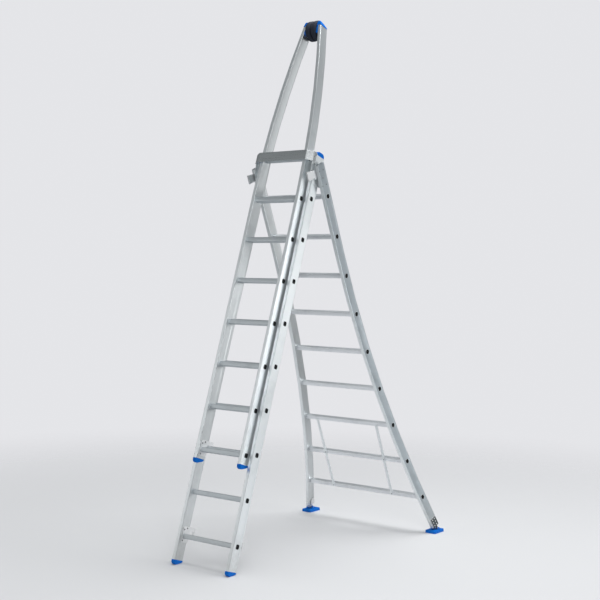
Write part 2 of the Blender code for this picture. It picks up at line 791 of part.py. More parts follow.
def roller(width):
    """Rubber roller: crowned tread, round shoulders, dished sides and a bored hub; starts at x = 0."""
    bore = AXLE_RADIUS + RUN_GAP
    rim = ROLLER_RADIUS - ROLLER_SHOULDER
    profile = [(0.0, bore), (0.0, ROLLER_HUB_RADIUS), (ROLLER_DISH, ROLLER_HUB_RADIUS + 0.004)]
    profile += [(ROLLER_DISH, rim - 0.006), (0.0, rim)]
    for angle in (45, 90):
        x = ROLLER_SHOULDER * 0.7 * (1 - math.cos(math.radians(angle)))
        profile.append((x, rim + ROLLER_SHOULDER * math.sin(math.radians(angle))))
    profile += [(width - x, radius) for x, radius in reversed(profile)]
    return turned_ring(profile, 24)


def foot_bracket(side):
    """Two cheeks on the lower end of a rear stile, joined by the pin of the swivelling foot."""
    face = STILE_WIDTH / 2 + SEAT_GAP
    tongue = BRACKET_END_RADIUS
    lower = [(-tongue, 0.0)] + arc((0.0, -PIN_BELOW_STILE), tongue, 180, 360, 8) + [(tongue, 0.0)]
    outer = [(BRACKET_HALF, 0.0), (BRACKET_HALF, BRACKET_TOP), (-BRACKET_HALF, BRACKET_TOP), (-BRACKET_HALF, 0.0)]
    radius = BRACKET_INNER_HALF
    top = arc((BRACKET_INNER_BACK, BRACKET_INNER_TOP - radius), radius, 0, 180, 10)
    inner = [(top[0][0], 0.0)] + top + [(top[-1][0], 0.0)]
    cheeks = bmesh.new()
    for upper, start in ((outer, face), (inner, -face - BRACKET_SHEET)):
        mesh = to_mesh(plate(upper + lower, start, start + BRACKET_SHEET), "cheek")
        cheeks.from_mesh(mesh)
        bpy.data.meshes.remove(mesh)
    side.follow(cheeks)
    centre = side.centre(-PIN_BELOW_STILE)
    end = pad_ear_faces()[1] + 0.0015
    pin = rod([(centre - end, PIN_RADIUS), (centre + end, PIN_RADIUS)], (0.0, -PIN_BELOW_STILE), PIN_SIDES)
    return combine(cheeks, pin, "UNION")


def pad_ear_faces():
    """Inner and outer face of the foot's ears, measured sideways from the middle of the pin."""
    inner = STILE_WIDTH / 2 + SEAT_GAP + BRACKET_SHEET + PAD_EAR_GAP
    return inner, inner + PAD_EAR_SHEET


def swivel_pad():
    """Wide foot that lies flat on the floor; drawn level, with its pin at the origin."""
    low = -PIN_HEIGHT
    high = low + PAD_THICKNESS
    shape = block(-PAD_WIDTH / 2 - PAD_INWARD, PAD_WIDTH / 2 - PAD_INWARD, -PAD_LENGTH / 2, PAD_LENGTH / 2,
                  low, high)
    upright = []
    for edge in shape.edges:
        if abs(edge.verts[0].co.z - edge.verts[1].co.z) > PAD_THICKNESS / 2:
            upright.append(edge)
    bmesh.ops.bevel(shape, geom=upright, offset=PAD_EDGE * 2, segments=3, profile=0.5, affect="EDGES")
    rim = [edge for edge in shape.edges if min(v.co.z for v in edge.verts) > high - 1e-5]
    bmesh.ops.bevel(shape, geom=rim, offset=PAD_EDGE, segments=2, profile=0.5, affect="EDGES")
    inner, outer = pad_ear_faces()
    base = high - PAD_EDGE
    outline = arc((0.0, 0.0), PAD_EAR_RADIUS, 0, 180, 8) + [(-PAD_EAR_FOOT, base), (PAD_EAR_FOOT, base)]
    for start in (inner, -outer):
        shape = combine(shape, plate(outline, start, start + PAD_EAR_SHEET), "UNION")
    bore = rod([(-PAD_WIDTH, PIN_RADIUS + RUN_GAP), (PAD_WIDTH, PIN_RADIUS + RUN_GAP)], sides=PIN_SIDES)
    return combine(shape, bore, "DIFFERENCE")


def tie_bar():
    """Flat bar across the front of the lowest rear rungs."""
    x = TIE_BAR_SPACING / 2
    front = -HALF_RUNG - SEAT_GAP
    low = REAR_FIRST_RUNG - TIE_BAR_BELOW
    high = REAR_FIRST_RUNG + (TIE_BAR_RUNGS - 1) * RUNG_PITCH - TIE_BAR_SHORT
    return block(x - TIE_BAR_WIDTH / 2, x + TIE_BAR_WIDTH / 2, front - TIE_BAR_SHEET, front, low, high)


def build_middle(parent, metal, plastic, steel):
    """Middle section with its feet, caps, hooks, side plates, bar and hinge studs."""
    side = middle_side()
    heights = rung_heights(MIDDLE_FIRST_RUNG, MIDDLE_RUNGS)
    section_frame("middle", side, heights, metal, parent)
    add_pair("middle_foot", side.follow(stile_foot()), plastic, parent)
    add_pair("middle_cap", side.follow(stile_cap(MIDDLE_LENGTH)), plastic, parent)
    add_pair("middle_hook", hook_plate(side, MIDDLE_FIRST_RUNG), steel, parent)
    add_pair("side_plate", side_plate(), metal, parent)
    add_pair("hinge_stud", hinge_stud(), steel, parent)
    add("retaining_bar", retaining_bar(), metal, parent)


def build_top(parent, metal, plastic, steel, rubber):
    """Top section with its feet, hooks, tip caps, axle and rollers."""
    side = top_side()
    heights = rung_heights(TOP_FIRST_RUNG, TOP_RUNGS)
    section_frame("top", side, heights, metal, parent)
    add_pair("top_foot", side.follow(stile_foot()), plastic, parent)
    add_pair("top_hook", hook_plate(side, TOP_FIRST_RUNG), steel, parent)
    add_pair("tip_cap", tip_cap(side), plastic, parent)
    add("roller_axle", axle_rod(side), steel, parent)
    axle = axle_place()
    width = roller_width(side)
    for name, start in (("roller_right", ROLLER_SPACE / 2), ("roller_left", -ROLLER_SPACE / 2 - width)):
        add(name, roller(width), rubber, parent, place=(start, axle[0], axle[1]))


def build_rear(parent, lean, metal, plastic, steel):
    """Rear section hung on the hinge, with wing plates, tie bars and swivelling feet."""
    side = rear_side()
    heights = rung_heights(REAR_FIRST_RUNG, REAR_RUNGS)
    section_frame("rear", side, heights, metal, parent, hinge_bore(), REAR_HINGE)
    add_pair("wing_plate", wing_plate(), steel, parent, REAR_HINGE)
    add_pair("tie_bar", tie_bar(), metal, parent, REAR_HINGE)
    add_pair("foot_bracket", foot_bracket(side), steel, parent, REAR_HINGE)
    pin = Vector((side.centre(-PIN_BELOW_STILE), 0.0, -PIN_BELOW_STILE)) - REAR_HINGE
    pad = swivel_pad()
    add("rear_foot_left", mirrored(pad), plastic, parent, place=(-pin.x, pin.y, pin.z), turn=-lean)
    add("rear_foot_right", pad, plastic, parent, place=pin, turn=-lean)


def centre_on_floor(root):
    """Move the ladder so that the middle of its footprint stands over the origin."""
    bpy.context.view_layer.update()
    depths = []
    for item in bpy.data.objects:
        if item.type == "MESH":
            depths += [(item.matrix_world @ vert.co).y for vert in item.data.vertices]
    root.location.y = -(min(depths) + max(depths)) / 2
    bpy.context.view_layer.update()


def main():
    """Build the ladder."""
    clear_scene()
    metal = finish("satin_aluminium", (0.78, 0.80, 0.82), 0.36, 1.0)
    steel = finish("zinc_plated_steel", (0.66, 0.67, 0.68), 0.42, 1.0)
    plastic = finish("blue_plastic", (0.004, 0.092, 0.46), 0.42, 0.0)
    rubber = finish("black_rubber", (0.018, 0.019, 0.022), 0.62, 0.0)
    lean = rear_lean()
    root = frame("ladder")
    middle = frame("middle_frame", root, (0, 0, middle_base_height()), -FRONT_LEAN)
    top_foot = MIDDLE_FIRST_RUNG + TOP_RAISED_RUNGS * RUNG_PITCH - HOOK_DROP - TOP_FIRST_RUNG
    top = frame("top_slide", middle, (0, -TOP_OFFSET, top_foot))
    rear = frame("rear_hinge", middle, MIDDLE_HINGE, FRONT_LEAN + lean)
    build_middle(middle, metal, plastic, steel)
    build_top(top, metal, plastic, steel, rubber)
    build_rear(rear, lean, metal, plastic, steel)
    centre_on_floor(root)


main()
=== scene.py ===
# %% [markdown]
# A combination ladder of three aluminium sections, standing open on a pale studio floor.
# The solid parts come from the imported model. They have real sizes but hard edges, so each one
# is copied, welded and given soft edges here. What repeats along the ladder, such as treads,
# rung plugs and rivets, is made with Geometry Nodes.

import json
import math

import bmesh
import bpy
from mathutils import Matrix, Vector


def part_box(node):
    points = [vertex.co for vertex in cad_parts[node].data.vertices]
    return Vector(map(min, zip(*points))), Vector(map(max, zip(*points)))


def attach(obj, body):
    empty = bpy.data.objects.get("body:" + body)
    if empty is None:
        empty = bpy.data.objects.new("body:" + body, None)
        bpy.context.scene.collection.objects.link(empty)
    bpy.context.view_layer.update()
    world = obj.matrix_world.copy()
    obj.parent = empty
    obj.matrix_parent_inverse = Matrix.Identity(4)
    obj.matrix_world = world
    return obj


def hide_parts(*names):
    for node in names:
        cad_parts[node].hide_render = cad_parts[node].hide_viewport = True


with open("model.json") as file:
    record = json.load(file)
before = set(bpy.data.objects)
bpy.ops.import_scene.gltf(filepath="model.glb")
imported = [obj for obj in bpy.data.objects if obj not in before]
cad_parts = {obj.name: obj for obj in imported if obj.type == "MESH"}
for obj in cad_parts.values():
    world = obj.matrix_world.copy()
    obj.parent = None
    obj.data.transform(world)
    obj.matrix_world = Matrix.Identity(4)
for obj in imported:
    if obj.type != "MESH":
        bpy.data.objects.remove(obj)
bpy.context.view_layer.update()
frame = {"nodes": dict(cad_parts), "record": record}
nodes = frame["nodes"]
body_of_node = {}
for body, members in frame["record"]["behaviour"]["bodies"].items():
    for member in members:
        body_of_node[member] = body
slot_of = {row["node"]: row["material_slot"] for row in frame["record"]["subparts"]}

# %% [markdown]
# The climbing side and the rear section lean at different angles. Draw lines and treads have to
# follow the lean, so it is measured from the rungs: the line from the lowest to the highest rung is
# the direction of the stiles. The top section lies against the middle one and leans as it does.

# %% measure the lean of the sections
RUNG_COUNT = {"middle": 9, "top": 8, "rear": 9}
SECTION_BODY = {"middle": "middle_section", "top": "top_section", "rear": "rear_section"}
SIDES = (("left", -1), ("right", 1))


def middle_of(node):
    """Centre of a solid's box."""
    low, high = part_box(node)
    return (low + high) / 2


def rungs_of(section):
    """Names of a section's rungs, from the lowest up."""
    return [f"{section}_rung_{number}" for number in range(1, RUNG_COUNT[section] + 1)]


def section_axis(section):
    """Direction up the stiles of a section."""
    rungs = rungs_of(section)
    axis = middle_of(rungs[-1]) - middle_of(rungs[0])
    return Vector((0.0, axis.y, axis.z)).normalized()


FRONT_AXIS = section_axis("middle")
REAR_AXIS = section_axis("rear")
FRONT_TURN = -math.atan2(FRONT_AXIS.y, FRONT_AXIS.z)
REAR_TURN = -math.atan2(REAR_AXIS.y, REAR_AXIS.z)
SECTION_AXIS = {"middle": FRONT_AXIS, "top": FRONT_AXIS, "rear": REAR_AXIS}
SECTION_TURN = {"middle": FRONT_TURN, "top": FRONT_TURN, "rear": REAR_TURN}
print("lean of the climbing side:", round(math.degrees(FRONT_TURN), 2),
      "of the rear:", round(math.degrees(REAR_TURN), 2))

# %% [markdown]
# Extruded aluminium shows fine lines along its length, left by the die. They are a noise
# texture squeezed hard across the length. The lines are the same idea on stiles, rungs and
# plates, so they sit in one node group that each material places with its own values. A small
# helper adds a node and fills its inputs, with plain numbers or with other nodes' outputs.


# %% a node group for draw lines
def feed(tree, socket, value):
    """Give an input a plain value or the output of another node."""
    if isinstance(value, bpy.types.NodeSocket):
        tree.links.new(value, socket)
    else:
        socket.default_value = value


def add_node(tree, kind, inputs, **settings):
    """New node with its settings and inputs."""
    node = tree.nodes.new(kind)
    for label, value in settings.items():
        setattr(node, label, value)
    for label, value in inputs.items():
        feed(tree, node.inputs[label], value)
    return node


def product(tree, first, second):
    """Two values multiplied."""
    node = add_node(tree, "ShaderNodeMath", {0: first, 1: second}, operation="MULTIPLY")
    return node.outputs["Value"]


def new_group(name, numbers, output):
    """Start a shader node group that takes a vector and named numbers."""
    made = bpy.data.node_groups.new(name, "ShaderNodeTree")
    made.interface.new_socket("Vector", in_out="INPUT", socket_type="NodeSocketVector")
    for label, value in numbers.items():
        socket = made.interface.new_socket(label, in_out="INPUT", socket_type="NodeSocketFloat")
        socket.default_value = value
    made.interface.new_socket(output, in_out="OUTPUT", socket_type="NodeSocketFloat")
    return made, made.nodes.new("NodeGroupInput").outputs, made.nodes.new("NodeGroupOutput").inputs


def draw_lines_group():
    """Lines along z of the vector that comes in."""
    made, given, out = new_group("draw_lines", {"Across": 420.0, "Along": 3.0}, "Lines")
    squeeze = add_node(made, "ShaderNodeCombineXYZ", {
        "X": given["Across"], "Y": given["Across"], "Z": given["Along"]})
    scaled = add_node(made, "ShaderNodeVectorMath", {
        0: given["Vector"], 1: squeeze.outputs["Vector"]}, operation="MULTIPLY")
    noise = add_node(made, "ShaderNodeTexNoise", {
        "Vector": scaled.outputs["Vector"], "Scale": 1.0, "Detail": 3.0})
    feed(made, out["Lines"], noise.outputs["Fac"])
    return made


DRAW_LINES = draw_lines_group()
print("group:", DRAW_LINES.name)

# %% [markdown]
# A ladder that is carried about gets faint smudges where hands hold it and a little grey dust
# near the floor. Both are soft masks: one is a large noise, the other a noise that fades out
# with height.


# %% node groups for smudges and floor dust
def smudge_group():
    """Large soft patches."""
    made, given, out = new_group("smudges", {"Size": 6.0, "From": 0.5, "To": 0.75}, "Mask")
    noise = add_node(made, "ShaderNodeTexNoise", {
        "Vector": given["Vector"], "Scale": given["Size"], "Detail": 5.0, "Roughness": 0.6})
    spread = add_node(made, "ShaderNodeMapRange", {
        "Value": noise.outputs["Fac"], "From Min": given["From"], "From Max": given["To"]},
        interpolation_type="SMOOTHSTEP")
    feed(made, out["Mask"], spread.outputs["Result"])
    return made


def dust_group():
    """Dust that gathers near the floor."""
    made, given, out = new_group("floor_dust", {"Height": 0.25, "Amount": 0.4}, "Mask")
    split = add_node(made, "ShaderNodeSeparateXYZ", {"Vector": given["Vector"]})
    fade = add_node(made, "ShaderNodeMapRange", {
        "Value": split.outputs["Z"], "From Min": 0.0, "From Max": given["Height"],
        "To Min": 1.0, "To Max": 0.0}, interpolation_type="SMOOTHSTEP")
    noise = add_node(made, "ShaderNodeTexNoise", {
        "Vector": given["Vector"], "Scale": 55.0, "Detail": 4.0})
    patchy = product(made, fade.outputs["Result"], noise.outputs["Fac"])
    feed(made, out["Mask"], product(made, patchy, given["Amount"]))
    return made


SMUDGES = smudge_group()
DUST = dust_group()
print("groups:", SMUDGES.name, DUST.name)

# %% [markdown]
# The metal finishes differ in colour, gloss and in the direction of their lines, so one
# function builds them all. The mapping node turns the ladder's own coordinates until the lines
# run along the piece: along the stiles for a section, along x for the rungs. The lines set the
# gloss as well, and they give a faint relief.


# %% helpers for materials
def place(tree, node_group, vector, values):
    """Put a group into a material and set its values."""
    return add_node(tree, "ShaderNodeGroup", {"Vector": vector, **values}, node_tree=node_group)


def mix_colour(tree, mask, first, second):
    """Blend two colours by a mask; a colour may be a socket or plain numbers."""
    node = add_node(tree, "ShaderNodeMix", {"Factor": mask}, data_type="RGBA")
    for label, colour in (("A", first), ("B", second)):
        socket = [s for s in node.inputs if s.name == label and s.type == "RGBA"][0]
        feed(tree, socket, (*colour, 1.0) if isinstance(colour, tuple) else colour)
    return [s for s in node.outputs if s.type == "RGBA"][0]


def new_material(name):
    """New material: its tree, its shader and the ladder's own coordinates."""
    made = bpy.data.materials.new(name)
    made.use_nodes = True
    tree = made.node_tree
    coordinates = tree.nodes.new("ShaderNodeTexCoord")
    return made, tree, tree.nodes["Principled BSDF"], coordinates.outputs["Object"]


def cover(tree, shader, colour, lines, gloss, depth, strength):
    """Link colour, gloss and fine relief to the shader; gloss is the roughness from and to."""
    low, high = gloss
    spread = add_node(tree, "ShaderNodeMapRange", {"Value": lines, "To Min": low, "To Max": high})
    relief = add_node(tree, "ShaderNodeBump", {
        "Height": lines, "Distance": depth, "Strength": strength})
    feed(tree, shader.inputs["Base Color"], colour)
    feed(tree, shader.inputs["Roughness"], spread.outputs["Result"])
    feed(tree, shader.inputs["Normal"], relief.outputs["Normal"])


print("helpers for materials ready")

# %% how a metal finish is built
FINE_LINES = 420.0
COARSE_LINES = 70.0
ROLLED_LINES = 60.0
LINE_DEPTH = 0.0002
LINE_STRENGTH = 0.04
METAL_DUST = (0.42, 0.40, 0.37)


def metal_finish(name, turn, bright, dull, gloss, across=FINE_LINES, metallic=1.0, dusty=0.5):
    """Metal with draw lines, faint smudges and floor dust."""
    made, tree, shader, plain = new_material(name)
    turned = add_node(tree, "ShaderNodeMapping", {"Vector": plain, "Rotation": turn}).outputs["Vector"]
    lines = place(tree, DRAW_LINES, turned, {"Across": across, "Along": 3.0})
    smudges = place(tree, SMUDGES, turned, {"Size": 5.0, "From": 0.48, "To": 0.75})
    dust = place(tree, DUST, plain, {"Height": 0.35, "Amount": dusty})
    colour = mix_colour(tree, smudges.outputs["Mask"], bright, dull)
    colour = mix_colour(tree, dust.outputs["Mask"], colour, METAL_DUST)
    cover(tree, shader, colour, lines.outputs["Lines"], gloss, LINE_DEPTH, LINE_STRENGTH)
    shader.inputs["Metallic"].default_value = metallic
    return made


print("lines to the metre: fine", FINE_LINES, "coarse", COARSE_LINES, "rolled", ROLLED_LINES)

# %% [markdown]
# The narrow fronts of the stiles are bright. Their inner sides have coarser draw lines, a wider
# spread of gloss and a darker colour, and the outer sides of the rear section are darker still. The
# aluminium is the same all round, so that darker colour is painted shade for faces turned away from
# the light. So a stile has two finishes in front and three at the rear.

# %% metal of the stiles and tie bars
ALONG_FRONT = (-FRONT_TURN, 0.0, 0.0)
ALONG_REAR = (-REAR_TURN, 0.0, 0.0)
BRIGHT = (0.865, 0.90, 0.915)
DULL = (0.765, 0.80, 0.815)
# The darker colours of these two sides are painted shade; their coarser lines and gloss are not.
SHADED_INNER_SIDE = ((0.65, 0.675, 0.685), (0.57, 0.60, 0.61), (0.25, 0.62), COARSE_LINES)
SHADED_OUTER_SIDE = ((0.43, 0.475, 0.505), (0.37, 0.41, 0.44), (0.12, 0.74), COARSE_LINES)
FRONT_METAL = metal_finish("front_stile_aluminium", ALONG_FRONT, BRIGHT, DULL, (0.40, 0.50))
FRONT_INNER_SHADED_METAL = metal_finish("front_inner_aluminium_painted_shade", ALONG_FRONT, *SHADED_INNER_SIDE)
REAR_METAL = metal_finish("rear_stile_aluminium", ALONG_REAR, BRIGHT, DULL, (0.38, 0.48))
REAR_INNER_SHADED_METAL = metal_finish("rear_inner_aluminium_painted_shade", ALONG_REAR, *SHADED_INNER_SIDE)
REAR_SIDE_SHADED_METAL = metal_finish("rear_side_aluminium_painted_shade", ALONG_REAR, *SHADED_OUTER_SIDE)
TIE_METAL = metal_finish("tie_bar_aluminium", ALONG_REAR, BRIGHT, DULL, (0.40, 0.50))
print("stiles:", [m.name for m in (FRONT_METAL, FRONT_INNER_SHADED_METAL, REAR_METAL, REAR_INNER_SHADED_METAL,
                                   REAR_SIDE_SHADED_METAL, TIE_METAL)])

# %% [markdown]
# The rungs lie across, so their lines run along x. The rungs of the climbing side get a darker copy
# of their aluminium than those at the rear: painted shade. The bent bar round the top section is
# glossier than the rungs, and its darker colour is painted shade as well. Plates are zinc-plated
# sheet with the wide grain of the rolls, the outside of a foot bracket is dark grey, and rivets are
# dark grey.

# %% metal of rungs, plates and rivets
ALONG_X = (0.0, -math.pi / 2, 0.0)
UPRIGHT = (0.0, 0.0, 0.0)
# The darker colour of the climbing rungs is painted shade.
SHADED_RUNG_METAL = metal_finish("rung_aluminium", ALONG_X, (0.62, 0.66, 0.685), (0.54, 0.575, 0.60),
                          (0.42, 0.54))
REAR_RUNG_METAL = metal_finish("rear_rung_aluminium", ALONG_X, (0.82, 0.845, 0.87), (0.70, 0.725, 0.755),
                               (0.30, 0.44))
RUNG_FINISH = {"middle": SHADED_RUNG_METAL, "top": SHADED_RUNG_METAL, "rear": REAR_RUNG_METAL}
# The bar's darker colour is painted shade; its higher gloss is not.
SHADED_BAR_METAL = metal_finish("bar_aluminium", ALONG_X, (0.70, 0.73, 0.74), (0.60, 0.62, 0.63), (0.22, 0.36))
PLATE_METAL = metal_finish("plate_zinc", UPRIGHT, (0.84, 0.85, 0.86), (0.70, 0.71, 0.73), (0.40, 0.54),
                           across=ROLLED_LINES)
SHOE_METAL = metal_finish("shoe_bracket_grey", UPRIGHT, (0.022, 0.036, 0.042), (0.015, 0.024, 0.028),
                          (0.50, 0.66), across=ROLLED_LINES, metallic=0.0, dusty=0.08)
# Rivets are given a plain dark grey colour.
RIVET_METAL = metal_finish("rivet_dark_grey", UPRIGHT, (0.22, 0.23, 0.24), (0.16, 0.165, 0.17), (0.35, 0.50),
                           across=ROLLED_LINES, dusty=0.08)
print("others:", [m.name for m in (SHADED_RUNG_METAL, REAR_RUNG_METAL, SHADED_BAR_METAL, PLATE_METAL, SHOE_METAL,
                                   RIVET_METAL)])

# %% [markdown]
# The feet and caps are moulded blue plastic with a fine grain. The rollers are matt black
# rubber, and the rung ends are closed by black plugs.

# %% plastic and rubber
MOULDING_DUST = (0.30, 0.30, 0.30)
GRAIN_DEPTH = 0.0003
SOFT_SHINE = 0.10


def moulded_finish(name, colour, pale, gloss, grain, strength):
    """Moulded plastic or rubber with fine grain, scuffs and floor dust."""
    made, tree, shader, plain = new_material(name)
    grains = place(tree, DRAW_LINES, plain, {"Across": grain, "Along": grain})
    scuffs = place(tree, SMUDGES, plain, {"Size": 22.0, "From": 0.52, "To": 0.80})
    dust = place(tree, DUST, plain, {"Height": 0.03, "Amount": 0.06})
    tint = mix_colour(tree, scuffs.outputs["Mask"], colour, pale)
    tint = mix_colour(tree, dust.outputs["Mask"], tint, MOULDING_DUST)
    cover(tree, shader, tint, grains.outputs["Lines"], gloss, GRAIN_DEPTH, strength)
    shader.inputs["Specular IOR Level"].default_value = SOFT_SHINE
    return made


BLUE = moulded_finish("blue_moulding", (0.0, 0.145, 0.60), (0.0, 0.16, 0.64), (0.48, 0.62), 900.0, 0.15)
RUBBER = moulded_finish("roller_rubber", (0.030, 0.035, 0.052), (0.044, 0.050, 0.068), (0.50, 0.75),
                        700.0, 0.25)
PLUG_BLACK = moulded_finish("plug_black", (0.008, 0.008, 0.009), (0.015, 0.015, 0.016), (0.40, 0.60),
                            900.0, 0.10)
print("mouldings:", [m.name for m in (BLUE, RUBBER, PLUG_BLACK)])

# %% [markdown]
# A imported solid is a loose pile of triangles, so it always looks faceted. A copy whose corners
# are welded can be shaded smooth over its gentle bends and kept crisp at its real edges. A small
# bevel then catches the light along those edges, as on sheet metal that has been deburred. Large
# faces keep their own direction in the shading, so that a flat wall does not look rounded.


# %% helpers for meshes
def to_mesh(shape, name):
    """Plain mesh of a finished shape."""
    mesh = bpy.data.meshes.new(name)
    shape.to_mesh(mesh)
    shape.free()
    return mesh


def shown(name, mesh, material):
    """Put a finished mesh into the scene."""
    mesh.materials.clear()
    mesh.materials.append(material)
    piece = bpy.data.objects.new(name, mesh)
    bpy.context.scene.collection.objects.link(piece)
    return piece


def bake(piece):
    """Turn a piece and its modifiers into a plain mesh."""
    graph = bpy.context.evaluated_depsgraph_get()
    mesh = bpy.data.meshes.new_from_object(piece.evaluated_get(graph), depsgraph=graph)
    piece.modifiers.clear()
    piece.data = mesh


def smooth(piece, below):
    """Shade a piece smooth, but keep edges sharper than an angle."""
    piece.data.shade_smooth()
    piece.data.set_sharp_from_angle(angle=below)


print("helpers for meshes ready")

# %% soft-edged copies of the solids
WELD_DISTANCE = 0.00001
FLAT_WITHIN = math.radians(0.1)
BEVEL_ABOVE = math.radians(40)
SMOOTH_BELOW = math.radians(32)


def welded(node):
    """Copy of a solid with its doubled corners merged."""
    shape = bmesh.new()
    shape.from_mesh(nodes[node].data)
    bmesh.ops.remove_doubles(shape, verts=shape.verts, dist=WELD_DISTANCE)
    bmesh.ops.dissolve_limit(shape, angle_limit=FLAT_WITHIN, verts=shape.verts, edges=shape.edges)
    return to_mesh(shape, node + "_look")


def soft_copy(node, material, edge):
    """Stand-in for a solid: welded, bevelled and smooth where it bends gently."""
    piece = shown(node + "_look", welded(node), material)
    if edge > 0:
        bevel = piece.modifiers.new("edge", "BEVEL")
        bevel.width = edge
        bevel.segments = 2
        bevel.limit_method = "ANGLE"
        bevel.angle_limit = BEVEL_ABOVE
        bake(piece)
    smooth(piece, SMOOTH_BELOW)
    level = piece.modifiers.new("flat", "WEIGHTED_NORMAL")
    level.mode = "FACE_AREA"
    level.weight = 100
    level.keep_sharp = True
    bake(piece)
    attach(piece, body_of_node[node])
    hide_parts(node)
    return piece


print("edges stay sharp above", round(math.degrees(SMOOTH_BELOW)), "degrees")

# %% [markdown]
# Which finish a solid gets follows from its name and from the record's material slot. Mouldings
# have the softest edges. Stiles and rungs need none, because their corners are round already, and
# the thin tie bars stay sharp.

# %% choose the finish of each solid
ROLLERS = ("roller_left", "roller_right")
MOULDED_EDGE = 0.0008
SHEET_EDGE = 0.0005
NO_EDGE = 0.0


def finish_for(node):
    """Material and edge width for a solid."""
    if slot_of[node] == "blue_plastic":
        return BLUE, MOULDED_EDGE
    if slot_of[node] == "zinc_plated_steel":
        return PLATE_METAL, SHEET_EDGE
    if "_rung_" in node:
        return RUNG_FINISH[node.split("_")[0]], NO_EDGE
    if node.startswith("rear_stile"):
        return REAR_METAL, NO_EDGE
    if node.startswith("tie_bar"):
        return TIE_METAL, NO_EDGE
    if node == "retaining_bar":
        return SHADED_BAR_METAL, SHEET_EDGE
    return FRONT_METAL, (SHEET_EDGE if node.startswith("side_plate") else NO_EDGE)


copies = {}
for node in sorted(nodes):
    if node not in ROLLERS:
        copies[node] = soft_copy(node, *finish_for(node))
print("soft copies:", len(copies))

# %% [markdown]
# Now the sides of the stiles get their darker finishes, whose darker colour is painted shade, and the
# foot brackets their grey outer cheek. A face's direction tells which side it is on.

# %% finishes of the sides
FACES_SIDEWAYS = 0.5


def repaint(node, finish, side):
    """Give the faces of a piece that look to one side another finish."""
    mesh = copies[node].data
    mesh.materials.append(finish)
    for face in mesh.polygons:
        if face.normal.x * side > FACES_SIDEWAYS:
            face.material_index = len(mesh.materials) - 1


# Inner sides, and the outer sides at the rear, get the aluminium copies with painted shade.
for name, outward in SIDES:
    repaint("middle_stile_" + name, FRONT_INNER_SHADED_METAL, -outward)
    repaint("top_stile_" + name, FRONT_INNER_SHADED_METAL, -outward)
    repaint("rear_stile_" + name, REAR_INNER_SHADED_METAL, -outward)
    repaint("rear_stile_" + name, REAR_SIDE_SHADED_METAL, outward)
    repaint("foot_bracket_" + name, SHOE_METAL, outward)
mixed = [node for node, piece in copies.items() if len(piece.data.materials) > 1]
print("pieces with more than one finish:", len(mixed))

# %% [markdown]
# The rollers are turned shapes, so a profile spun about the axle gives them exactly. They have
# round shoulders, a plain tread, and sides that are dished between the hub and the rim.

# %% rollers
AXLE_HOLE = 0.0066
HUB_RADIUS = 0.030
DISH_START = 0.034
DISH_DEPTH = 0.003
RIM_LIP = 0.006
SHOULDER_WIDTH = 0.011
SHOULDER_HEIGHT = 0.018
SHOULDER_STEPS = 6
ROLLER_SIDES = 96
ROLLER_SMOOTH_BELOW = math.radians(35)


def roller_profile(width, radius):
    """Half section of a roller as (place along the axle, distance from it)."""
    rim = radius - SHOULDER_HEIGHT
    side = [(0.0, AXLE_HOLE), (0.0, HUB_RADIUS), (DISH_DEPTH, DISH_START), (DISH_DEPTH, rim - RIM_LIP),
            (0.0, rim)]
    for step in range(1, SHOULDER_STEPS + 1):
        angle = math.pi / 2 * step / SHOULDER_STEPS
        side.append((SHOULDER_WIDTH * (1 - math.cos(angle)), rim + SHOULDER_HEIGHT * math.sin(angle)))
    return side + [(width - x, r) for x, r in reversed(side)]


def spun(profile, start, hub, sides):
    """Spin a closed profile about the axle."""
    shape = bmesh.new()
    rings = []
    for x, radius in profile:
        ring = []
        for side in range(sides):
            angle = 2 * math.pi * side / sides
            spot = (start + x, hub.y + radius * math.cos(angle), hub.z + radius * math.sin(angle))
            ring.append(shape.verts.new(spot))
        rings.append(ring)
    for ring, other in zip(rings, rings[1:] + rings[:1]):
        for side in range(sides):
            after = (side + 1) % sides
            shape.faces.new((ring[side], ring[after], other[after], other[side]))
    bmesh.ops.recalc_face_normals(shape, faces=shape.faces)
    return to_mesh(shape, "roller")


for name in ROLLERS:
    low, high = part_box(name)
    profile = roller_profile(high.x - low.x, (high.z - low.z) / 2)
    piece = shown(name + "_look", spun(profile, low.x, middle_of(name), ROLLER_SIDES), RUBBER)
    smooth(piece, ROLLER_SMOOTH_BELOW)
    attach(piece, name)
    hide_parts(name)
print("rollers:", len(ROLLERS), "with", ROLLER_SIDES, "sides each")

# %% [markdown]
# Now the things that repeat. A Geometry Nodes tree takes points and puts the same small shape on
# each of them. Every point carries its own turn and size as named attributes, so one tree serves
# the whole ladder. The result is made a plain mesh for each moving body.


# %% start and end of a tree
def new_tree(name, sizes):
    """Start a geometry tree with named sizes and a material."""
    tree = bpy.data.node_groups.new(name, "GeometryNodeTree")
    new_socket = tree.interface.new_socket
    new_socket("Geometry", in_out="INPUT", socket_type="NodeSocketGeometry")
    for label, value in sizes.items():
        kind = "NodeSocketInt" if isinstance(value, int) else "NodeSocketFloat"
        socket = new_socket(label, in_out="INPUT", socket_type=kind)
        socket.default_value = value
    new_socket("Material", in_out="INPUT", socket_type="NodeSocketMaterial")
    new_socket("Geometry", in_out="OUTPUT", socket_type="NodeSocketGeometry")
    return tree, tree.nodes.new("NodeGroupInput").outputs


def attribute(tree, name):
    """Read a named vector of the points."""
    node = add_node(tree, "GeometryNodeInputNamedAttribute", {"Name": name}, data_type="FLOAT_VECTOR")
    return [s for s in node.outputs if s.enabled][0]


